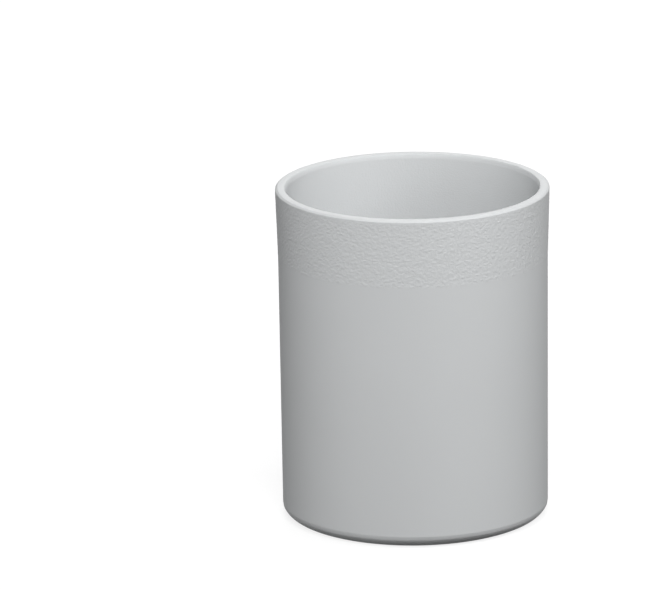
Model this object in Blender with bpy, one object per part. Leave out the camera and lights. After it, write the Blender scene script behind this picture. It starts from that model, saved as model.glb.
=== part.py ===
"""Round desk pen cup: one thin-walled moulding on four soft anti-slip pads.

Run with: blender --background --python part.py
Metres, +Z up, origin on the table under the middle of the cup.
"""

import math

import bmesh
import bpy
from mathutils import Matrix, Vector

# Driving sizes of the cup
RIM_DIAMETER = 0.08095
CUP_HEIGHT = 0.0996
BAND_HEIGHT = 0.0205
BAND_FLARE = 0.00062
WALL_TAPER = 0.00042
WALL_AT_RIM = 0.0030
WALL_AT_BASE = 0.0030

# The lip: a bevel outside, a flat top, a small bevel inside and a steep lead-in under it
LIP_OUTER_BEVEL = 0.0007
LIP_OUTER_DROP = 0.0006
LIP_INNER_BEVEL = 0.0003
LIP_INNER_DROP = 0.0005
LEAD_IN_DEPTH = 0.0002
LEAD_IN_HEIGHT = 0.0009

# The base edge: a witness line, a short steep cone under it, then a wide and a tight round to the foot,
# whose radii are shares of the drop from the cone to the foot
BASE_EDGE_HEIGHT = 0.0034
BASE_CONE_HEIGHT = 0.0010
BASE_CONE_ANGLE = math.radians(8)
BASE_ROUND_START = math.radians(23.5)
WIDE_ROUND_SHARE = 1.96
TIGHT_ROUND_SHARE = 0.25

# The floor and what is under it
FLOOR_THICKNESS = 0.0034
FLOOR_FILLET = 0.0025
RECESS_DEPTH = 0.0008
RECESS_SLOPE = 0.0003
GATE_WELL_DIAMETER = 0.0080
GATE_WELL_DEPTH = 0.0005
GATE_NUB_DIAMETER = 0.0020
GATE_NUB_HEIGHT = 0.0003

# The pads and their pockets in the foot ring
PAD_COUNT = 4
PAD_DIAMETER = 0.0090
PAD_THICKNESS = 0.0014
PAD_STAND = 0.0004
PAD_EDGE_ROUND = 0.0003
PAD_MARGIN = 0.0018
SEAT_GAP = 0.0003

# How finely round shapes are divided
CUP_STEPS = 96
PAD_STEPS = 32
BASE_ARC_STEPS = 6
FOOT_ARC_STEPS = 2
FLOOR_ARC_STEPS = 6
PAD_ARC_STEPS = 3
CUTTER_OVERRUN = 0.0010
MERGE_DISTANCE = 0.00001
SMOOTH_ANGLE = math.radians(30)


def clear_scene():
    """Remove every object that the file opened with."""
    for obj in list(bpy.data.objects):
        bpy.data.objects.remove(obj)


def plastic(name, colour, roughness):
    """A plain moulded finish."""
    material = bpy.data.materials.new(name)
    material.use_nodes = True
    shader = material.node_tree.nodes["Principled BSDF"]
    shader.inputs["Base Color"].default_value = (*colour, 1.0)
    shader.inputs["Roughness"].default_value = roughness
    shader.inputs["Metallic"].default_value = 0.0
    return material


def arc(centre, radius, start_degrees, end_degrees, steps):
    """Points (r, z) along a round, both ends included."""
    points = []
    for step in range(steps + 1):
        angle = math.radians(start_degrees + (end_degrees - start_degrees) * step / steps)
        r = centre[0] + radius * math.cos(angle)
        z = centre[1] + radius * math.sin(angle)
        points.append((r, z))
    return points


def turned(name, profile, steps, material):
    """A closed body turned about Z from (r, z) points that run down its outer side."""
    mesh = bpy.data.meshes.new(name)
    body = bmesh.new()
    points = [body.verts.new((r, 0.0, z)) for r, z in profile]
    edges = [body.edges.new(pair) for pair in zip(points, points[1:])]
    bmesh.ops.spin(
        body,
        geom=points + edges,
        cent=(0.0, 0.0, 0.0),
        axis=(0.0, 0.0, 1.0),
        dvec=(0.0, 0.0, 0.0),
        angle=math.tau,
        steps=steps,
        use_merge=True,
    )
    bmesh.ops.remove_doubles(body, verts=body.verts, dist=MERGE_DISTANCE)
    bmesh.ops.recalc_face_normals(body, faces=body.faces)
    body.to_mesh(mesh)
    body.free()
    mesh.materials.append(material)
    mesh.shade_smooth()
    mesh.set_sharp_from_angle(angle=SMOOTH_ANGLE)
    obj = bpy.data.objects.new(name, mesh)
    bpy.context.scene.collection.objects.link(obj)
    return obj


def rim_radius():
    return RIM_DIAMETER / 2


def band_foot_radius():
    """Outer radius where the flared band ends and the plain wall begins."""
    return rim_radius() - BAND_FLARE


def base_edge_radius():
    """Outer radius at the witness line above the base."""
    return band_foot_radius() - WALL_TAPER


def cup_top():
    return PAD_STAND + CUP_HEIGHT


def floor_level():
    """Height of the floor that the pens stand on."""
    return PAD_STAND + FLOOR_THICKNESS


def base_drop():
    """Height from the flat foot ring up to the foot of the base cone."""
    return BASE_EDGE_HEIGHT - BASE_CONE_HEIGHT


def wide_round():
    """Centre (r, z) and radius of the wide round, which begins at the foot of the base cone."""
    radius = WIDE_ROUND_SHARE * base_drop()
    cone_foot = base_edge_radius() - BASE_CONE_HEIGHT * math.tan(BASE_CONE_ANGLE)
    r = cone_foot - radius * math.cos(BASE_ROUND_START)
    z = PAD_STAND + base_drop() + radius * math.sin(BASE_ROUND_START)
    return (r, z), radius


def tight_round():
    """Centre and radius of the tight round on the foot ring, and the angle below level where it begins."""
    (wide_r, wide_z), wide_radius = wide_round()
    radius = TIGHT_ROUND_SHARE * base_drop()
    z = PAD_STAND + radius
    between = wide_radius - radius
    begins = math.asin((wide_z - z) / between)
    return (wide_r + between * math.cos(begins), z), radius, begins


def foot_radius():
    """Outer radius of the flat ring under the cup, where the tight round ends."""
    return tight_round()[0][0]


def base_points():
    """From the foot of the base cone down both rounds to the flat foot ring."""
    wide_centre, wide_radius = wide_round()
    tight_centre, tight_radius, change = tight_round()
    start = -math.degrees(BASE_ROUND_START)
    change = -math.degrees(change)
    wide = arc(wide_centre, wide_radius, start, change, BASE_ARC_STEPS)
    return wide + arc(tight_centre, tight_radius, change, -90, FOOT_ARC_STEPS)[1:]


def pocket_radius():
    return PAD_DIAMETER / 2 + SEAT_GAP


def recess_radius():
    """Outer radius of the raised panel inside the foot ring."""
    return foot_radius() - 2 * (pocket_radius() + PAD_MARGIN)


def pad_circle_radius():
    """Radius of the circle that the pads stand on, midway along the foot ring."""
    return (foot_radius() + recess_radius()) / 2


def inside_points():
    """From the middle of the floor up the inner wall."""
    floor = floor_level()
    wall_foot = base_edge_radius() - WALL_AT_BASE
    corner = (wall_foot - FLOOR_FILLET, floor + FLOOR_FILLET)
    return [(0.0, floor)] + arc(corner, FLOOR_FILLET, -90, 0, FLOOR_ARC_STEPS)


def lip_points():
    """From the top of the inner wall over the lip to the upper edge of the band."""
    top = cup_top()
    opening = rim_radius() - WALL_AT_RIM
    lead_in = opening + LEAD_IN_DEPTH
    bevel_foot = top - LIP_INNER_DROP
    return [
        (opening, bevel_foot - LEAD_IN_HEIGHT),
        (lead_in, bevel_foot),
        (lead_in + LIP_INNER_BEVEL, top),
        (rim_radius() - LIP_OUTER_BEVEL, top),
        (rim_radius(), top - LIP_OUTER_DROP),
    ]


def outside_points():
    """From the lower edge of the band down the plain wall to the foot ring."""
    points = [
        (band_foot_radius(), cup_top() - BAND_HEIGHT),
        (base_edge_radius(), PAD_STAND + BASE_EDGE_HEIGHT),
    ]
    return points + base_points()


def underside_points():
    """From the foot ring over the raised panel to the moulding gate in the middle."""
    panel = PAD_STAND + RECESS_DEPTH
    well = panel + GATE_WELL_DEPTH
    nub = well - GATE_NUB_HEIGHT
    return [
        (recess_radius(), PAD_STAND),
        (recess_radius() - RECESS_SLOPE, panel),
        (GATE_WELL_DIAMETER / 2, panel),
        (GATE_WELL_DIAMETER / 2 - RECESS_SLOPE, well),
        (GATE_NUB_DIAMETER / 2, well),
        (GATE_NUB_DIAMETER / 2, nub),
        (0.0, nub),
    ]


def pad_places():
    """Centres of the pads on the table, evenly spaced round the foot ring."""
    places = []
    for index in range(PAD_COUNT):
        angle = math.tau * (index + 0.5) / PAD_COUNT
        places.append(Matrix.Rotation(angle, 3, "Z") @ Vector((pad_circle_radius(), 0.0, 0.0)))
    return places


def pocket_cutter():
    """One hidden body of plain discs that opens a pocket over each pad."""
    mesh = bpy.data.meshes.new("pocket_cutter")
    body = bmesh.new()
    roof = PAD_THICKNESS + SEAT_GAP
    bottom = PAD_STAND - CUTTER_OVERRUN
    for place in pad_places():
        bmesh.ops.create_cone(
            body,
            cap_ends=True,
            segments=PAD_STEPS,
            radius1=pocket_radius(),
            radius2=pocket_radius(),
            depth=roof - bottom,
            matrix=Matrix.Translation(place + Vector((0.0, 0.0, (roof + bottom) / 2))),
        )
    body.to_mesh(mesh)
    body.free()
    cutter = bpy.data.objects.new("pocket_cutter", mesh)
    bpy.context.scene.collection.objects.link(cutter)
    cutter.hide_render = True
    cutter.display_type = "WIRE"
    return cutter


def make_cup():
    """The moulding: floor, wall, flared band, lip, base edge, foot ring and pad pockets."""
    finish = plastic("light_grey_plastic", (0.57, 0.58, 0.58), 0.6)
    profile = inside_points() + lip_points() + outside_points() + underside_points()
    cup = turned("cup", profile, CUP_STEPS, finish)
    cut = cup.modifiers.new("pad_pockets", "BOOLEAN")
    cut.operation = "DIFFERENCE"
    cut.solver = "EXACT"
    cut.object = pocket_cutter()
    return cup


def pad_profile():
    """From the middle of the pad's top down its side to the middle of its underside."""
    radius = PAD_DIAMETER / 2
    corner = (radius - PAD_EDGE_ROUND, PAD_EDGE_ROUND)
    return (
        [(0.0, PAD_THICKNESS), (radius, PAD_THICKNESS)]
        + arc(corner, PAD_EDGE_ROUND, 0, -90, PAD_ARC_STEPS)
        + [(0.0, 0.0)]
    )


def make_pads(cup):
    """Four alike soft pads, each standing on the table with its top up in its pocket."""
    rubber = plastic("grey_rubber", (0.09, 0.09, 0.09), 0.85)
    shared = None
    for number, place in enumerate(pad_places(), start=1):
        name = f"anti_slip_pad_{number}"
        if shared is None:
            pad = turned(name, pad_profile(), PAD_STEPS, rubber)
            shared = pad.data
        else:
            pad = bpy.data.objects.new(name, shared)
            bpy.context.scene.collection.objects.link(pad)
        pad.location = place
        pad.parent = cup


def main():
    clear_scene()
    cup = make_cup()
    make_pads(cup)


main()
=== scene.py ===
"""Looks of a round desk pen cup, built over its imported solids.

The cup is one matte grey moulding with a finely grained band under its lip, standing on four
soft pads. Metres, +Z up, origin on the table under the middle of the cup.
"""

import logging
import math
from collections.abc import Callable
from dataclasses import dataclass, replace
from enum import Enum

import bmesh
import bpy
from mathutils import Matrix, Vector, noise


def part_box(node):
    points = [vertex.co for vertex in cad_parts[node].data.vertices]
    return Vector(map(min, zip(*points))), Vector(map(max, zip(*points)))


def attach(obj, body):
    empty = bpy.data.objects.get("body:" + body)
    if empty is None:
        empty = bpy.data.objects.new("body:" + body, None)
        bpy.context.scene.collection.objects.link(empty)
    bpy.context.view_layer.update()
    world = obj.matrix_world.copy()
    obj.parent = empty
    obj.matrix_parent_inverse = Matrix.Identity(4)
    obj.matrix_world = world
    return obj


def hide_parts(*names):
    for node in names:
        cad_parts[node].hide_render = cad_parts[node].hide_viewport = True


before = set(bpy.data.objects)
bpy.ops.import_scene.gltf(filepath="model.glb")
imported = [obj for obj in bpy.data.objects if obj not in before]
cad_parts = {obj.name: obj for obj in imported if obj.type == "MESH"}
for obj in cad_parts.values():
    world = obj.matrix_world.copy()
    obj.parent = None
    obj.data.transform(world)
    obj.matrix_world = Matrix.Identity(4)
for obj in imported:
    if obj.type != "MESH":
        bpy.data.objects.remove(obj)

LOG = logging.getLogger("pen_cup")
BODY = "root"
MILLIMETRE = 0.001
TOUCH = 0.001 * MILLIMETRE
ORIGIN = (0.0, 0.0, 0.0)
CREASE_ANGLE = math.radians(30.0)
PAD_COUNT = 4
GRIT_FINENESS = 2.7
DUST_FACING_RANGE = (0.35, 0.95)
DUST_SPECK_SCALE = 2600.0
DUST_SPECK_RANGE = (0.56, 0.72)
DUST_PATCH_SCALE = 110.0
DUST_PATCH_RANGE = (0.38, 0.66)
RUB_TURNS = (0.4, 1.5)
RUB_STRETCH = (1.0, 14.0, 14.0)
RUB_SCALE = 160.0
RUB_RANGE = (0.62, 0.70)
ETCH_WANDER_SCALE = 400.0
MIX_MASK, MIX_UNDER, MIX_OVER, MIX_RESULT = 0, 6, 7, 2
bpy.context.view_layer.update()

Socket = bpy.types.NodeSocket
Colour = tuple[float, float, float]
RingPoint = tuple[float, float]
EdgeTest = Callable[[Vector, Vector], bool]


class Slot(Enum):
    """The record's material slots."""

    CUP = "cup_plastic"
    PAD = "pad_rubber"


def deselect_everything() -> None:
    """Leave no object selected, so that an operator acts on nothing by accident."""
    if bpy.context.mode != "OBJECT":
        bpy.ops.object.mode_set(mode="OBJECT")
    bpy.ops.object.select_all(action="DESELECT")


def select_only(obj: bpy.types.Object) -> None:
    """Make one object the only selected and the active one.

    Args:
        obj: The object.
    """
    deselect_everything()
    bpy.context.view_layer.objects.active = obj
    obj.select_set(True)


def leave_edit_mode() -> None:
    """Go back to object mode with nothing selected in the mesh."""
    bpy.ops.mesh.select_all(action="DESELECT")
    bpy.ops.object.mode_set(mode="OBJECT")


def select_edges(obj: bpy.types.Object, wanted: EdgeTest) -> int:
    """Select the edges of a piece that pass a test, leaving it in edit mode.

    Args:
        obj: The piece.
        wanted: A test on the two end points of an edge.

    Returns:
        How many edges were selected.
    """
    select_only(obj)
    bpy.ops.object.mode_set(mode="EDIT")
    bpy.ops.mesh.select_mode(type="EDGE")
    bpy.ops.mesh.select_all(action="DESELECT")
    mesh = bmesh.from_edit_mesh(obj.data)
    count = 0
    for edge in mesh.edges:
        if wanted(edge.verts[0].co, edge.verts[1].co):
            edge.select_set(True)
            count += 1
    bmesh.update_edit_mesh(obj.data)
    return count


def radius_of(point: Vector) -> float:
    """Distance of a point from the cup's axis."""
    return math.hypot(point.x, point.y)


def on_ring(point: Vector, ring: RingPoint) -> bool:
    """Tell whether a point lies on a ring round the cup's axis."""
    return abs(radius_of(point) - ring[0]) < TOUCH and abs(point.z - ring[1]) < TOUCH


def round_points(
    centre: RingPoint, radius: float, start: float, end: float, steps: int
) -> list[RingPoint]:
    """Points along a round in the profile plane.

    Args:
        centre: Radius and height of the round's centre.
        radius: Radius of the round.
        start: First angle in degrees, from the outward direction.
        end: Last angle in degrees.
        steps: Number of steps between them.

    Returns:
        The points as (radius, height), both ends included.
    """
    points = []
    for step in range(steps + 1):
        angle = math.radians(start + (end - start) * step / steps)
        points.append((centre[0] + radius * math.cos(angle), centre[1] + radius * math.sin(angle)))
    return points


def pad_places(radius: float) -> list[Vector]:
    """Centres of the pads on the table, evenly spaced round the foot ring.

    Args:
        radius: Radius of the circle that they stand on.

    Returns:
        One point for each pad.
    """
    places = []
    for index in range(PAD_COUNT):
        angle = math.tau * (index + 0.5) / PAD_COUNT
        places.append(Vector((radius * math.cos(angle), radius * math.sin(angle), 0.0)))
    return places


class RingStack:
    """A round shell raised ring by ring: one open loop is extruded and resized over and over."""

    def __init__(self, name: str, columns: int, start: RingPoint) -> None:
        """Start from a filled disc whose edge is the first ring.

        Args:
            name: Name of the piece.
            columns: Number of points round each ring.
            start: Radius and height of the first ring.
        """
        deselect_everything()
        bpy.ops.mesh.primitive_circle_add(
            vertices=columns, radius=start[0], fill_type="TRIFAN", location=(0.0, 0.0, start[1])
        )
        self.obj = bpy.context.object
        self.obj.name = name
        self.obj.data.name = name
        self.last = start
        bpy.ops.object.transform_apply(location=True, rotation=True, scale=True)
        bpy.ops.object.mode_set(mode="EDIT")
        bpy.ops.mesh.select_all(action="DESELECT")
        bpy.ops.mesh.select_mode(type="EDGE")
        bpy.ops.mesh.select_non_manifold(
            use_wire=False,
            use_boundary=True,
            use_multi_face=False,
            use_non_contiguous=False,
            use_verts=False,
        )

    def extrude_to(self, ring: RingPoint) -> None:
        """Extrude the open ring to a new radius and height.

        Args:
            ring: Radius and height of the new ring.
        """
        radius, height = ring
        rise = (0.0, 0.0, height - self.last[1])
        bpy.ops.mesh.extrude_region_move(TRANSFORM_OT_translate={"value": rise})
        growth = radius / self.last[0]
        bpy.ops.transform.resize(value=(growth, growth, 1.0), center_override=(0.0, 0.0, height))
        self.last = ring

    def extrude_through(self, rings: list[RingPoint]) -> None:
        """Extrude the open ring through several places in turn."""
        for ring in rings:
            self.extrude_to(ring)

    def close_pole(self) -> bpy.types.Object:
        """Gather the last ring into one point on the axis and finish the shell.

        Returns:
            The finished object, in object mode.
        """
        bpy.ops.mesh.extrude_region_move(TRANSFORM_OT_translate={"value": (0.0, 0.0, 0.0)})
        bpy.ops.mesh.merge(type="COLLAPSE")
        bpy.ops.mesh.select_all(action="SELECT")
        bpy.ops.mesh.normals_make_consistent(inside=False)
        leave_edit_mode()
        return self.obj


class Mat:
    """A small helper that adds and links the nodes of one material or node group."""

    def __init__(self, tree: bpy.types.NodeTree) -> None:
        """Work in the given node tree."""
        self.tree = tree

    def node(self, kind: str, **settings: object) -> bpy.types.Node:
        """Add a node and give its properties, and its inputs by name or number.

        Args:
            kind: Blender's name of the node type.
            **settings: Properties of the node, and inputs={name: value or socket}.

        Returns:
            The new node.
        """
        inputs = settings.pop("inputs", {})
        made = self.tree.nodes.new(kind)
        for key, value in settings.items():
            setattr(made, key, value)
        for key, value in inputs.items():
            if isinstance(value, Socket):
                self.tree.links.new(value, made.inputs[key])
            else:
                made.inputs[key].default_value = value
        return made

    def calculate(self, operation: str, *values: object, clamp: bool = False) -> Socket:
        """Add a sum, product or other calculation.

        Args:
            operation: Blender's name of the calculation.
            *values: What goes in, in order, each a value or a socket.
            clamp: Whether the result is kept between 0 and 1.

        Returns:
            The result.
        """
        inputs = dict(enumerate(values))
        made = self.node("ShaderNodeMath", operation=operation, use_clamp=clamp, inputs=inputs)
        return made.outputs[0]

    def specks(self, place: Socket, scale: object, detail: float) -> Socket:
        """Add a soft random pattern, roughly from 0 to 1.

        Args:
            place: The point that it is read at.
            scale: How fine it is, a value or a socket.
            detail: How many finer layers lie on it.

        Returns:
            The pattern.
        """
        inputs = {"Vector": place, "Scale": scale, "Detail": detail}
        return self.node("ShaderNodeTexNoise", inputs=inputs).outputs["Fac"]

    def stretch(self, value: Socket, low: object, high: object) -> Socket:
        """Stretch a value so that one end becomes 0 and the other 1.

        Args:
            value: The value.
            low: What becomes 0, a value or a socket.
            high: What becomes 1, a value or a socket.

        Returns:
            The stretched value, kept between 0 and 1.
        """
        inputs = {"Value": value, "From Min": low, "From Max": high}
        return self.node("ShaderNodeMapRange", inputs=inputs).outputs[0]

    def upward(self, vector: Socket) -> Socket:
        """Take the upward part of a place or a direction."""
        return self.node("ShaderNodeSeparateXYZ", inputs={"Vector": vector}).outputs["Z"]

    def group(self, tree: bpy.types.NodeTree, **inputs: object) -> Socket:
        """Place a shared node group.

        Args:
            tree: The group.
            **inputs: Its inputs by name, each a value or a socket.

        Returns:
            The group's output.
        """
        placed = self.node("ShaderNodeGroup", node_tree=tree)
        for key, value in inputs.items():
            if isinstance(value, Socket):
                self.tree.links.new(value, placed.inputs[key])
            else:
                placed.inputs[key].default_value = value
        return placed.outputs[0]

    def blend(self, mask: Socket, under: object, over: object) -> Socket:
        """Lay one colour over another by a mask.

        The node has sockets of the same name for numbers and colours, so they are picked by number.

        Args:
            mask: How much of the upper colour shows.
            under: The lower colour, a value or a socket.
            over: The upper colour, a value or a socket.

        Returns:
            The blended colour.
        """
        inputs = {MIX_MASK: mask, MIX_UNDER: under, MIX_OVER: over}
        return self.node("ShaderNodeMix", data_type="RGBA", inputs=inputs).outputs[MIX_RESULT]

    def finish_group(self, result: Socket) -> None:
        """Link a group's result to its one output."""
        self.tree.links.new(result, self.tree.nodes["Out"].inputs[0])


def new_group(name: str, inputs: dict[str, float | Colour], output: str) -> Mat:
    """Make an empty node group and hand back its builder.

    Args:
        name: Name of the group.
        inputs: Names and first values of its inputs; a triple makes a vector input.
        output: Name of its one mask or height output.

    Returns:
        A builder for the group's tree, which holds nodes named "In" and "Out".
    """
    group = bpy.data.node_groups.new(name, "ShaderNodeTree")
    for key, value in inputs.items():
        kind = "NodeSocketVector" if isinstance(value, tuple) else "NodeSocketFloat"
        socket = group.interface.new_socket(key, in_out="INPUT", socket_type=kind)
        socket.default_value = value
    group.interface.new_socket(output, in_out="OUTPUT", socket_type="NodeSocketFloat")
    group.nodes.new("NodeGroupInput").name = "In"
    group.nodes.new("NodeGroupOutput").name = "Out"
    return Mat(group)


def flow_clouds_group() -> bpy.types.NodeTree:
    """Slow clouds from the way the melt filled the mould, from 0 to 1.

    Returns:
        The group's tree.
    """
    mat = new_group("flow_clouds", {"Vector": ORIGIN, "Scale": 40.0}, "Clouds")
    source = mat.tree.nodes["In"].outputs
    mat.finish_group(mat.specks(source["Vector"], source["Scale"], detail=3.0))
    return mat.tree


def satin_tooth_group() -> bpy.types.NodeTree:
    """The fine tooth of a blasted mould wall: soft pebbles with finer grit on them, as a height.

    Returns:
        The group's tree.
    """
    mat = new_group("satin_tooth", {"Vector": ORIGIN, "Scale": 9000.0, "Grit": 0.4}, "Height")
    source = mat.tree.nodes["In"].outputs
    pebbles = mat.specks(source["Vector"], source["Scale"], detail=0.0)
    finer = mat.calculate("MULTIPLY", source["Scale"], GRIT_FINENESS)
    grit = mat.specks(source["Vector"], finer, detail=1.0)
    mat.finish_group(mat.calculate("MULTIPLY_ADD", grit, source["Grit"], pebbles))
    return mat.tree


def settled_dust_group() -> bpy.types.NodeTree:
    """Fine dust that lies in loose patches on whatever faces up, as a mask.

    Returns:
        The group's tree.
    """
    mat = new_group("settled_dust", {"Vector": ORIGIN, "Normal": ORIGIN, "Amount": 0.5}, "Dust")
    source = mat.tree.nodes["In"].outputs
    level = mat.stretch(mat.upward(source["Normal"]), *DUST_FACING_RANGE)
    specks = mat.specks(source["Vector"], DUST_SPECK_SCALE, detail=2.0)
    sharp = mat.stretch(specks, *DUST_SPECK_RANGE)
    patches = mat.specks(source["Vector"], DUST_PATCH_SCALE, detail=3.0)
    loose = mat.stretch(patches, *DUST_PATCH_RANGE)
    lying = mat.calculate("MULTIPLY", level, loose)
    seen = mat.calculate("MULTIPLY", lying, sharp)
    mat.finish_group(mat.calculate("MULTIPLY", seen, source["Amount"]))
    return mat.tree


def rub_marks_group() -> bpy.types.NodeTree:
    """Short fine rubs in two directions, strongest at the table and fading upwards, as a mask.

    Returns:
        The group's tree.
    """
    mat = new_group("rub_marks", {"Vector": ORIGIN, "Reach": 0.01, "Amount": 0.5}, "Rubs")
    source = mat.tree.nodes["In"].outputs
    masks = []
    for turn in RUB_TURNS:
        inputs = {"Vector": source["Vector"], "Rotation": (0.0, 0.0, turn), "Scale": RUB_STRETCH}
        turned = mat.node("ShaderNodeMapping", inputs=inputs)
        lines = mat.specks(turned.outputs[0], RUB_SCALE, detail=2.0)
        masks.append(mat.stretch(lines, *RUB_RANGE))
    either = mat.calculate("MAXIMUM", *masks)
    low = mat.stretch(mat.upward(source["Vector"]), source["Reach"], 0.0)
    near = mat.calculate("MULTIPLY", either, low)
    mat.finish_group(mat.calculate("MULTIPLY", near, source["Amount"]))
    return mat.tree


def grained_zone_group() -> bpy.types.NodeTree:
    """The height range of the etched band, whose lower edge wanders a little, as a mask.

    Returns:
        The group's tree.
    """
    sockets = {"Vector": ORIGIN, "Low": 0.0, "High": 1.0, "Fade": 0.001}
    mat = new_group("grained_zone", sockets, "Zone")
    source = mat.tree.nodes["In"].outputs
    height = mat.upward(source["Vector"])
    wander = mat.specks(source["Vector"], ETCH_WANDER_SCALE, detail=1.0)
    over_low = mat.calculate("SUBTRACT", height, source["Low"])
    ragged = mat.calculate("MULTIPLY", wander, source["Fade"])
    above = mat.calculate("SUBTRACT", over_low, ragged)
    below = mat.calculate("SUBTRACT", source["High"], height)
    inside = mat.calculate("MINIMUM", above, below)
    mat.finish_group(mat.calculate("DIVIDE", inside, source["Fade"], clamp=True))
    return mat.tree


class NodeGroups:
    """The shared effects, each built once."""

    def __init__(self) -> None:
        """Build every group."""
        self.clouds = flow_clouds_group()
        self.tooth = satin_tooth_group()
        self.dust = settled_dust_group()
        self.rubs = rub_marks_group()
        self.zone = grained_zone_group()


@dataclass(frozen=True)
class EtchedBand:
    """What the etched band adds to a finish: a finer spark grain and a slightly paler look.

    Heights and lengths are in metres. The spark's middle is its mean, so that the band keeps its level.
    """

    low: float
    high: float
    fade: float = 0.25 * MILLIMETRE
    spark_scale: float = 2300.0
    spark_height: float = 0.045 * MILLIMETRE
    spark_middle: float = 0.7
    lift: float = 1.025


@dataclass(frozen=True)
class MouldedFinish:
    """A moulded surface: its colour, gloss, fine tooth, and what dust and use leave on it."""

    name: str
    colour: Colour
    roughness: float
    specular: float
    cloud_scale: float
    cloud_depth: float
    tooth_scale: float
    tooth_height: float
    grit: float
    dust: float
    rubs: float
    rub_reach: float
    band: EtchedBand | None = None
    roughness_spread: float = 0.05
    dust_colour: Colour = (0.70, 0.69, 0.66)
    dust_dulling: float = 0.2
    rub_lift: float = 1.25

    def material(self, groups: NodeGroups) -> bpy.types.Material:
        """Build the material.

        Args:
            groups: The shared node groups.

        Returns:
            The finished material.
        """
        material = bpy.data.materials.new(self.name)
        material.use_nodes = True
        tree = material.node_tree
        mat = Mat(tree)
        shader = tree.nodes["Principled BSDF"]
        place = mat.node("ShaderNodeTexCoord").outputs["Object"]
        normal = mat.node("ShaderNodeNewGeometry").outputs["Normal"]
        clouds = mat.group(groups.clouds, Vector=place, Scale=self.cloud_scale)
        tooth = mat.group(groups.tooth, Vector=place, Scale=self.tooth_scale, Grit=self.grit)
        dust = mat.group(groups.dust, Vector=place, Normal=normal, Amount=self.dust)
        rubs = mat.group(groups.rubs, Vector=place, Reach=self.rub_reach, Amount=self.rubs)
        darker = tuple(part * (1 - self.cloud_depth) for part in self.colour)
        lighter = tuple(part * (1 + self.cloud_depth) for part in self.colour)
        rubbed = tuple(min(1.0, part * self.rub_lift) for part in self.colour)
        plain = mat.blend(clouds, (*darker, 1.0), (*lighter, 1.0))
        height = mat.calculate("MULTIPLY", tooth, self.tooth_height)
        if self.band is not None:
            band = self.band
            zone = mat.group(groups.zone, Vector=place, Low=band.low, High=band.high, Fade=band.fade)
            spark = mat.group(groups.tooth, Vector=place, Scale=band.spark_scale, Grit=self.grit)
            middle = band.spark_height * band.spark_middle
            etched = mat.calculate("MULTIPLY_ADD", spark, band.spark_height, -middle)
            kept = mat.calculate("MULTIPLY", etched, zone)
            height = mat.calculate("ADD", height, kept)
            paler = tuple(part * band.lift for part in self.colour)
            plain = mat.blend(zone, plain, (*paler, 1.0))
        worn = mat.blend(rubs, plain, (*rubbed, 1.0))
        dusty = mat.blend(dust, worn, (*self.dust_colour, 1.0))
        rough = mat.node(
            "ShaderNodeMapRange",
            inputs={
                "Value": clouds,
                "To Min": self.roughness - self.roughness_spread,
                "To Max": self.roughness + self.roughness_spread,
            },
        )
        dull = mat.calculate("MULTIPLY_ADD", dust, self.dust_dulling, rough.outputs[0], clamp=True)
        bump = mat.node("ShaderNodeBump", inputs={"Height": height, "Distance": 1.0, "Strength": 1.0})
        tree.links.new(dusty, shader.inputs["Base Color"])
        tree.links.new(dull, shader.inputs["Roughness"])
        tree.links.new(bump.outputs["Normal"], shader.inputs["Normal"])
        shader.inputs["Specular IOR Level"].default_value = self.specular
        return material


CUP_FINISH = MouldedFinish(
    name="cup_plastic",
    colour=(0.5635, 0.5755, 0.5815),
    roughness=0.65,
    specular=0.2,
    cloud_scale=35.0,
    cloud_depth=0.02,
    tooth_scale=9000.0,
    tooth_height=0.004 * MILLIMETRE,
    grit=0.4,
    dust=0.25,
    rubs=0.12,
    rub_reach=12.0 * MILLIMETRE,
)
PAD_FINISH = MouldedFinish(
    name="pad_rubber",
    colour=(0.09, 0.09, 0.09),
    roughness=0.85,
    specular=0.35,
    cloud_scale=220.0,
    cloud_depth=0.12,
    tooth_scale=5200.0,
    tooth_height=0.02 * MILLIMETRE,
    grit=0.8,
    dust=0.6,
    rubs=0.5,
    rub_reach=0.5 * MILLIMETRE,
)


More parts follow.
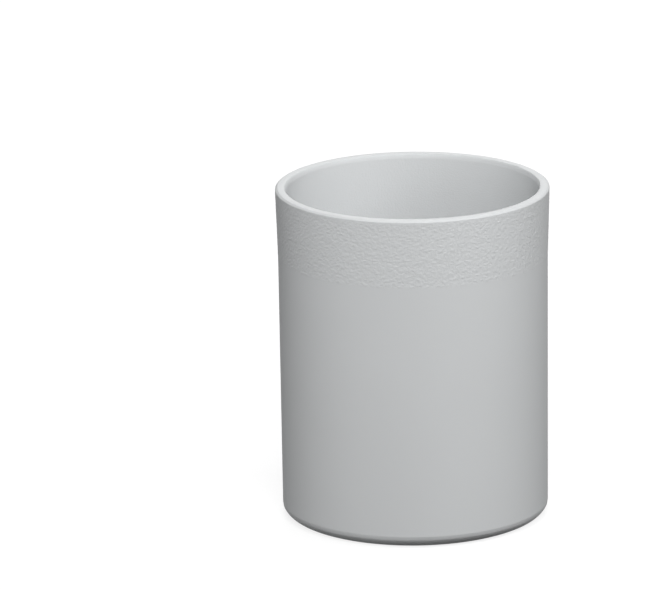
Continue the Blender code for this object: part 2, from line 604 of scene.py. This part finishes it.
@dataclass
class CupShell:
    """The whole moulding: floor, wall, grained band, lip, base edge, foot ring and pad pockets."""

    rim_radius: float
    foot_height: float
    top: float
    pad_circle: float
    band_height: float = 20.5 * MILLIMETRE
    band_flare: float = 0.62 * MILLIMETRE
    wall_taper: float = 0.42 * MILLIMETRE
    wall_at_rim: float = 3.25 * MILLIMETRE
    wall_at_base: float = 3.0 * MILLIMETRE
    outer_bevel_width: float = 0.65 * MILLIMETRE
    outer_bevel_drop: float = 0.47 * MILLIMETRE
    inner_bevel_width: float = 0.30 * MILLIMETRE
    inner_bevel_drop: float = 0.50 * MILLIMETRE
    lead_in_width: float = 0.20 * MILLIMETRE
    lead_in_height: float = 0.90 * MILLIMETRE
    edge_softness: float = 0.12 * MILLIMETRE
    base_edge_height: float = 3.45 * MILLIMETRE
    base_cone_height: float = 1.0 * MILLIMETRE
    base_cone_angle: float = 9.0
    base_round: float = 4.8 * MILLIMETRE
    base_round_start: float = 26.0
    foot_round: float = 0.6 * MILLIMETRE
    floor_thickness: float = 3.4 * MILLIMETRE
    floor_fillet: float = 2.5 * MILLIMETRE
    recess_depth: float = 0.8 * MILLIMETRE
    recess_slope: float = 0.3 * MILLIMETRE
    gate_radius: float = 4.0 * MILLIMETRE
    gate_depth: float = 0.5 * MILLIMETRE
    nub_radius: float = 1.0 * MILLIMETRE
    nub_height: float = 0.3 * MILLIMETRE
    pocket_radius: float = 4.8 * MILLIMETRE
    pocket_roof: float = 1.7 * MILLIMETRE
    pocket_break: float = 0.12 * MILLIMETRE
    pocket_steps: int = 72
    columns: int = 920
    column_share: int = 4
    band_rows: int = 88
    edge_steps: int = 2
    fillet_steps: int = 8
    base_round_steps: int = 12
    foot_round_steps: int = 5
    guard: float = 0.4 * MILLIMETRE
    grain_depth: float = 0.12 * MILLIMETRE
    grain_stand: float = 0.03 * MILLIMETRE
    grain_length: float = 0.72 * MILLIMETRE
    grain_rise: float = 0.55 * MILLIMETRE
    grain_mid: float = 0.5
    grain_fade: float = 0.25 * MILLIMETRE
    grain_edge_wander: float = 0.2 * MILLIMETRE
    grain_edge_scale: float = 2.5 * MILLIMETRE

    @property
    def lip_edge(self) -> RingPoint:
        """The crisp outer edge of the lip; the band's grain under it stands a little prouder."""
        return (self.rim_radius - self.grain_stand, self.top - self.outer_bevel_drop)

    @property
    def band_foot(self) -> RingPoint:
        """Where the flared band meets the plain wall."""
        return (self.lip_edge[0] - self.band_flare, self.top - self.band_height)

    @property
    def base_edge(self) -> RingPoint:
        """The witness line above the base."""
        return (self.band_foot[0] - self.wall_taper, self.foot_height + self.base_edge_height)

    @property
    def floor(self) -> float:
        """Height of the inside floor."""
        return self.foot_height + self.floor_thickness

    @property
    def cone_foot(self) -> RingPoint:
        """Where the short steep cone under the witness line ends and the wide round begins."""
        narrowing = self.base_cone_height * math.tan(math.radians(self.base_cone_angle))
        return (self.base_edge[0] - narrowing, self.base_edge[1] - self.base_cone_height)

    @property
    def wide_centre(self) -> RingPoint:
        """Centre of the wide round of the base."""
        start = math.radians(self.base_round_start)
        return (
            self.cone_foot[0] - self.base_round * math.cos(start),
            self.cone_foot[1] + self.base_round * math.sin(start),
        )

    @property
    def round_change(self) -> float:
        """Angle below level, in degrees, at which the wide round runs into the tight one."""
        height = self.wide_centre[1] - self.foot_height - self.foot_round
        return math.degrees(math.asin(height / (self.base_round - self.foot_round)))

    @property
    def foot_radius(self) -> float:
        """Outer radius of the flat foot ring."""
        reach = (self.base_round - self.foot_round) * math.cos(math.radians(self.round_change))
        return self.wide_centre[0] + reach

    @property
    def recess_radius(self) -> float:
        """Inner radius of the foot ring, with the pads midway along it."""
        return 2 * self.pad_circle - self.foot_radius

    def inside(self) -> list[RingPoint]:
        """Lay out the floor and its fillet.

        Returns:
            Rings from the floor up to the foot of the inner wall.
        """
        wall_foot = self.base_edge[0] - self.wall_at_base
        corner = (wall_foot - self.floor_fillet, self.floor + self.floor_fillet)
        return round_points(corner, self.floor_fillet, -90, 0, self.fillet_steps)

    def lip(self) -> list[RingPoint]:
        """Lay out the lip: lead-in, inner bevel, flat, outer bevel.

        Returns:
            Rings from the inner wall over the lip to its outer edge.
        """
        opening = self.rim_radius - self.wall_at_rim
        lead_in = opening + self.lead_in_width
        bevel_foot = self.top - self.inner_bevel_drop
        return [
            (opening, bevel_foot - self.lead_in_height),
            (lead_in, bevel_foot),
            (lead_in + self.inner_bevel_width, self.top),
            (self.lip_edge[0] - self.outer_bevel_width, self.top),
            self.lip_edge,
        ]

    def below_band(self) -> list[RingPoint]:
        """Lay out the foot of the band and the plain wall.

        Returns:
            Rings down to the witness line.
        """
        slope = self.wall_taper / (self.band_foot[1] - self.base_edge[1])
        guard = (self.band_foot[0] - self.guard * slope, self.band_foot[1] - self.guard)
        return [self.band_foot, guard, self.base_edge]

    def base(self) -> list[RingPoint]:
        """Lay out the base: the cone, a wide round under it, then a tight one into the foot ring.

        Returns:
            Rings from the foot of the cone to the foot ring.
        """
        start, change = -self.base_round_start, -self.round_change
        tight_centre = (self.foot_radius, self.foot_height + self.foot_round)
        wide = round_points(self.wide_centre, self.base_round, start, change, self.base_round_steps)
        return wide + round_points(tight_centre, self.foot_round, change, -90, self.foot_round_steps)[1:]

    def underside(self) -> list[RingPoint]:
        """Lay out the underside.

        Returns:
            Rings from the foot ring over the raised panel to the gate in the middle.
        """
        panel = self.foot_height + self.recess_depth
        well = panel + self.gate_depth
        nub = well - self.nub_height
        return [
            (self.recess_radius, self.foot_height),
            (self.recess_radius - self.recess_slope, panel),
            (self.gate_radius, panel),
            (self.gate_radius - self.recess_slope, well),
            (self.nub_radius, well),
            (self.nub_radius, nub),
        ]

    def build(self) -> bpy.types.Object:
        """Model the shell.

        Returns:
            The finished mesh object.
        """
        inside = self.inside()
        outside = self.lip() + self.below_band() + self.base() + self.underside()
        stack = RingStack("cup_shell", self.columns, inside[0])
        stack.extrude_through(inside[1:] + outside)
        shell = stack.close_pole()
        self.soften_lip(shell)
        self.thin_columns(shell)
        self.cut_pockets(shell)
        self.split_band(shell)
        self.press_grain(shell)
        self.crease(shell)
        return shell

    def soften_lip(self, shell: bpy.types.Object) -> None:
        """Break the five edges of the lip with narrow rounds.

        Args:
            shell: The shell.
        """
        rings = self.lip()

        def round_lip(a: Vector, b: Vector) -> bool:
            """Tell whether an edge runs round the lip."""
            return any(on_ring(a, ring) and on_ring(b, ring) for ring in rings)

        count = select_edges(shell, round_lip)
        bpy.ops.mesh.bevel(offset=self.edge_softness, segments=self.edge_steps, affect="EDGES")
        leave_edit_mode()
        LOG.info("cup_shell: %d edges of the lip broken", count)

    def on_fine_side(self, point: Vector) -> bool:
        """Tell whether a point lies on the band or its upper edge, which keep all their columns.

        Args:
            point: The point.

        Returns:
            Whether it does.
        """
        outside = radius_of(point) > self.rim_radius - self.band_flare - self.guard
        high = self.lip_edge[1] + self.edge_softness
        return outside and self.band_foot[1] - self.guard - TOUCH < point.z < high

    def thin_columns(self, shell: bpy.types.Object) -> None:
        """Dissolve three columns in four wherever the shell carries no grain.

        Args:
            shell: The shell.
        """
        step = math.tau / self.columns

        def column(point: Vector) -> int:
            """Number the column that a point stands in."""
            return round(math.atan2(point.y, point.x) / step) % self.columns

        def spare(a: Vector, b: Vector) -> bool:
            """Tell whether an edge belongs to a column that can go.

            Args:
                a: One end of the edge.
                b: Its other end.

            Returns:
                Whether it does.
            """
            near, far = sorted((a, b), key=radius_of)
            if column(far) % self.column_share == 0:
                return False
            if self.on_fine_side(a) and self.on_fine_side(b):
                return False
            return radius_of(near) < TOUCH or column(near) == column(far)

        count = select_edges(shell, spare)
        bpy.ops.mesh.dissolve_edges(use_verts=True)
        leave_edit_mode()
        LOG.info("cup_shell: %d spare edges dissolved", count)

    def cut_pockets(self, shell: bpy.types.Object) -> None:
        """Cut the pads' pockets into the foot ring, each with a broken edge at its mouth.

        Args:
            shell: The shell.
        """
        mouth = self.pocket_radius + self.pocket_break
        rings = [
            (mouth, self.foot_height),
            (self.pocket_radius, self.foot_height + self.pocket_break),
            (self.pocket_radius, self.pocket_roof - self.pocket_break),
            (self.pocket_radius - self.pocket_break, self.pocket_roof),
        ]
        stack = RingStack("pocket_cutter", self.pocket_steps, (mouth, self.foot_height - self.guard))
        stack.extrude_through(rings)
        cutter = stack.close_pole()
        for place in pad_places(self.pad_circle):
            cutter.location = place
            cut = shell.modifiers.new("pad_pocket", "BOOLEAN")
            cut.operation = "DIFFERENCE"
            cut.solver = "EXACT"
            cut.object = cutter
            select_only(shell)
            bpy.ops.object.modifier_apply(modifier=cut.name)
        bpy.data.objects.remove(cutter)
        LOG.info("cup_shell: %d pad pockets cut", PAD_COUNT)

    def split_band(self, shell: bpy.types.Object) -> None:
        """Divide the band into rows fine enough to carry its grain.

        Args:
            shell: The shell.
        """
        low = self.band_foot[1]
        tall = self.band_height / 2

        def upright(a: Vector, b: Vector) -> bool:
            """Tell whether an edge stands up the whole band.

            Args:
                a: One end of the edge.
                b: Its other end.

            Returns:
                Whether it does.
            """
            low_end, high_end = sorted((a, b), key=lambda point: point.z)
            outside = radius_of(low_end) > self.base_edge[0]
            return outside and abs(low_end.z - low) < TOUCH and high_end.z - low_end.z > tall

        count = select_edges(shell, upright)
        bpy.ops.mesh.subdivide(number_cuts=self.band_rows - 1)
        leave_edit_mode()
        LOG.info("cup_shell: %d columns of the band split", count)

    def press_grain(self, shell: bpy.types.Object) -> None:
        """Press the fine irregular grain into the band, as the mould's etched wall does.

        Args:
            shell: The shell.
        """
        high = self.lip_edge[1] - self.edge_softness
        low = self.band_foot[1]
        group = shell.vertex_groups.new(name="grained_band")
        for vertex in shell.data.vertices:
            point = vertex.co
            if not self.on_fine_side(point) or not low < point.z < high:
                continue
            wander = (noise.noise(point / self.grain_edge_scale) + 1) / 2 * self.grain_edge_wander
            share = min(point.z - low - wander, high - point.z) / self.grain_fade
            if share > 0:
                group.add([vertex.index], min(1.0, share), "REPLACE")
        texture = bpy.data.textures.new("band_grain", "CLOUDS")
        texture.noise_basis = "BLENDER_ORIGINAL"
        texture.noise_type = "SOFT_NOISE"
        texture.noise_depth = 0
        texture.noise_scale = 1.0
        scale_guide = bpy.data.objects.new("grain_scale", None)
        bpy.context.scene.collection.objects.link(scale_guide)
        scale_guide.scale = (self.grain_length, self.grain_length, self.grain_rise)
        bpy.context.view_layer.update()
        displace = shell.modifiers.new("grain", "DISPLACE")
        displace.texture = texture
        displace.texture_coords = "OBJECT"
        displace.texture_coords_object = scale_guide
        displace.vertex_group = group.name
        displace.direction = "NORMAL"
        displace.mid_level = self.grain_mid
        displace.strength = self.grain_depth
        select_only(shell)
        bpy.ops.object.modifier_apply(modifier="grain")
        shell.vertex_groups.clear()
        bpy.data.objects.remove(scale_guide)
        bpy.data.textures.remove(texture)

    def crease(self, shell: bpy.types.Object) -> None:
        """Shade the shell smooth, with real creases at its sharp corners and at the witness line.

        Args:
            shell: The shell.
        """
        select_only(shell)
        bpy.ops.object.shade_smooth_by_angle(angle=CREASE_ANGLE)
        ring = self.base_edge

        def witness_line(a: Vector, b: Vector) -> bool:
            """Tell whether an edge lies on the witness line."""
            return on_ring(a, ring) and on_ring(b, ring)

        select_edges(shell, witness_line)
        bpy.ops.mesh.mark_sharp()
        leave_edit_mode()

    def dress(self, shell: bpy.types.Object, groups: NodeGroups) -> None:
        """Give the shell its matte grey plastic.

        Args:
            shell: The shell.
            groups: The shared node groups.
        """
        shell.data.materials.clear()
        band = EtchedBand(low=self.band_foot[1], high=self.lip_edge[1])
        shell.data.materials.append(replace(CUP_FINISH, band=band).material(groups))
        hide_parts("cup")
        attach(shell, BODY)


@dataclass
class AntiSlipPads:
    """The four soft discs under the foot ring, all alike."""

    places: list[Vector]
    radius: float = 4.5 * MILLIMETRE
    thickness: float = 1.4 * MILLIMETRE
    lower_round: float = 0.3 * MILLIMETRE
    upper_break: float = 0.08 * MILLIMETRE
    columns: int = 96
    round_steps: int = 6

    def build(self, groups: NodeGroups) -> None:
        """Model one pad, copy it to every place and dress the copies.

        Args:
            groups: The shared node groups.
        """
        material = PAD_FINISH.material(groups)
        first = self.disc("anti_slip_disc_1")
        pads = [first]
        for number in range(2, len(self.places) + 1):
            pad = first.copy()
            pad.data = first.data.copy()
            pad.name = f"anti_slip_disc_{number}"
            bpy.context.scene.collection.objects.link(pad)
            pads.append(pad)
        for number, (pad, place) in enumerate(zip(pads, self.places), start=1):
            select_only(pad)
            bpy.ops.object.mode_set(mode="EDIT")
            bpy.ops.mesh.select_all(action="SELECT")
            bpy.ops.transform.translate(value=place)
            leave_edit_mode()
            bpy.ops.object.shade_smooth_by_angle(angle=CREASE_ANGLE)
            pad.data.materials.append(material)
            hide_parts(f"anti_slip_pad_{number}")
            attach(pad, BODY)
            LOG.info("%s: %d faces", pad.name, len(pad.data.polygons))

    def disc(self, name: str) -> bpy.types.Object:
        """Raise one pad over the origin: flat underside, rounded lower edge, upper edge just broken.

        Args:
            name: Name of the piece.

        Returns:
            The finished mesh object.
        """
        centre = (self.radius - self.lower_round, self.lower_round)
        lower = round_points(centre, self.lower_round, -90, 0, self.round_steps)
        stack = RingStack(name, self.columns, lower[0])
        upper = [
            (self.radius, self.thickness - self.upper_break),
            (self.radius - self.upper_break, self.thickness),
        ]
        stack.extrude_through(lower[1:] + upper)
        return stack.close_pole()


@dataclass(frozen=True)
class SoftBox:
    """One round soft box: where it hangs as seen from the cup, in degrees, and how strong it is."""

    name: str
    azimuth: float
    elevation: float
    watts: float
    width: float = 0.55

    def hang(self, distance: float, target: Vector) -> None:
        """Hang the soft box and turn it to the cup.

        Args:
            distance: Distance from the target in metres.
            target: The point that it is turned to.
        """
        turn, rise = math.radians(self.azimuth), math.radians(self.elevation)
        level = math.cos(rise)
        way = Vector((math.sin(turn) * level, -math.cos(turn) * level, math.sin(rise)))
        data = bpy.data.lights.new(self.name, "AREA")
        data.shape = "DISK"
        data.size = self.width
        data.energy = self.watts
        lamp = bpy.data.objects.new(self.name, data)
        bpy.context.scene.collection.objects.link(lamp)
        lamp.location = target + way * distance
        lamp.rotation_euler = (-way).to_track_quat("-Z", "Y").to_euler()


@dataclass(frozen=True)
class PaperFinish:
    """The white paper floor: dull for the light, white to the eye, with the cup's real soft shadow on
    its pale part and a painted contact shadow round the foot.

    Its glow is left off within the first distance from the cup's axis and is full from the second, in
    metres, which paints a dark contact shadow on the floor under and just round the cup's foot.
    """

    name: str = "studio_paper"
    bounce: float = 0.05
    seen_colour: float = 0.2
    glow: float = 0.83
    # The glow's cut-off radius paints a contact shadow under the cup's foot.
    painted_shadow_radius: float = 0.0351
    painted_shadow_fade_end: float = 0.0356

    def material(self) -> bpy.types.Material:
        """Build the material.

        Returns:
            The finished material.
        """
        material = bpy.data.materials.new(self.name)
        material.use_nodes = True
        tree = material.node_tree
        tree.nodes.clear()
        mat = Mat(tree)
        ray = mat.node("ShaderNodeLightPath")
        gloss = mat.calculate(
            "MAXIMUM", ray.outputs["Is Glossy Ray"], ray.outputs["Is Transmission Ray"]
        )
        seen = mat.calculate("MAXIMUM", ray.outputs["Is Camera Ray"], gloss)
        place = mat.node("ShaderNodeTexCoord").outputs["Object"]
        # Painted contact shadow: the glow is cut off inside a small radius round the cup's axis, so the
        # floor there stays dark whatever the lamps do.
        reach = mat.node("ShaderNodeVectorMath", operation="LENGTH", inputs={0: place})
        strength = mat.node(
            "ShaderNodeMapRange",
            inputs={
                "Value": reach.outputs["Value"],
                "From Min": self.painted_shadow_radius,
                "From Max": self.painted_shadow_fade_end,
                "To Max": self.glow,
            },
        )
        dull = mat.node("ShaderNodeBsdfDiffuse", inputs={"Color": (self.bounce,) * 3 + (1.0,)})
        pale = mat.node("ShaderNodeBsdfDiffuse", inputs={"Color": (self.seen_colour,) * 3 + (1.0,)})
        glow = mat.node("ShaderNodeEmission", inputs={"Strength": strength.outputs["Result"]})
        parts = {0: pale.outputs["BSDF"], 1: glow.outputs["Emission"]}
        white = mat.node("ShaderNodeAddShader", inputs=parts)
        looks = {"Fac": seen, 1: dull.outputs["BSDF"], 2: white.outputs["Shader"]}
        mix = mat.node("ShaderNodeMixShader", inputs=looks)
        mat.node("ShaderNodeOutputMaterial", inputs={"Surface": mix.outputs["Shader"]})
        return material


@dataclass
class Studio:
    """Floor, lamps, room light and camera; lengths in metres, angles in degrees, the lens in mm."""

    floor_size: float = 12.0
    room_light: float = 0.10
    lamp_distance: float = 1.1
    lamp_target: float = 0.05
    camera_distance: float = 2.4755
    camera_elevation: float = 14.845
    camera_tilt: float = 15.584
    camera_pan: float = -0.590
    camera_roll: float = -0.753
    camera_lens: float = 458.28
    camera_sensor: float = 36.0
    camera_reach: float = 100.0
    soft_boxes: tuple[SoftBox, ...] = (
        SoftBox("front_box", azimuth=0.0, elevation=45.0, watts=10.52),
        SoftBox("low_front_box", azimuth=0.0, elevation=10.0, watts=1.66),
        SoftBox("right_box", azimuth=80.0, elevation=35.0, watts=5.35),
        SoftBox("low_left_box", azimuth=-80.0, elevation=10.0, watts=1.87),
        SoftBox("back_box", azimuth=180.0, elevation=33.0, watts=4.99),
    )

    def floor(self) -> None:
        """Lay the pale floor."""
        deselect_everything()
        bpy.ops.mesh.primitive_plane_add(size=self.floor_size, location=(0.0, 0.0, 0.0))
        plane = bpy.context.object
        plane.name = "studio_floor"
        plane.data.materials.append(PaperFinish().material())

    def lamps(self) -> None:
        """Hang the soft boxes."""
        target = Vector((0.0, 0.0, self.lamp_target))
        for box in self.soft_boxes:
            box.hang(self.lamp_distance, target)

    def world(self) -> None:
        """Fill the room with a low even light."""
        world = bpy.data.worlds.new("studio_world")
        bpy.context.scene.world = world
        world.use_nodes = True
        back = world.node_tree.nodes["Background"]
        back.inputs["Color"].default_value = (1.0, 1.0, 1.0, 1.0)
        back.inputs["Strength"].default_value = self.room_light

    def camera(self, rim_height: float) -> None:
        """Place the camera at the photograph's viewing angle.

        Args:
            rim_height: Height of the cup's rim above the floor.
        """
        data = bpy.data.cameras.new("photo_camera")
        data.sensor_width = self.camera_sensor
        data.lens = self.camera_lens
        data.clip_end = self.camera_reach
        camera = bpy.data.objects.new("photo_camera", data)
        bpy.context.scene.collection.objects.link(camera)
        rise = math.radians(self.camera_elevation)
        place = Vector((0.0, -math.cos(rise), math.sin(rise))) * self.camera_distance
        turn = Matrix.Rotation(math.radians(-self.camera_pan), 4, "Z")
        tilt = Matrix.Rotation(math.radians(90.0 - self.camera_tilt), 4, "X")
        roll = Matrix.Rotation(math.radians(self.camera_roll), 4, "Z")
        place.z += rim_height
        camera.matrix_world = Matrix.Translation(place) @ turn @ tilt @ roll
        bpy.context.scene.camera = camera


def main() -> None:
    """Build the cup and the studio round it."""
    logging.basicConfig(level=logging.INFO, format="%(name)s: %(message)s")
    groups = NodeGroups()
    low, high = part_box("cup")
    pad_low, pad_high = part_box("anti_slip_pad_1")
    pad_circle = radius_of((pad_low + pad_high) / 2)
    cup = CupShell(rim_radius=high.x, foot_height=low.z, top=high.z, pad_circle=pad_circle)
    shell = cup.build()
    cup.dress(shell, groups)
    LOG.info("cup_shell: %d faces", len(shell.data.polygons))
    AntiSlipPads(places=pad_places(pad_circle)).build(groups)
    studio = Studio()
    studio.floor()
    studio.world()
    studio.lamps()
    studio.camera(high.z)
    scene = bpy.context.scene
    scene.view_settings.view_transform = "Standard"


if __name__ == "__main__":
    main()
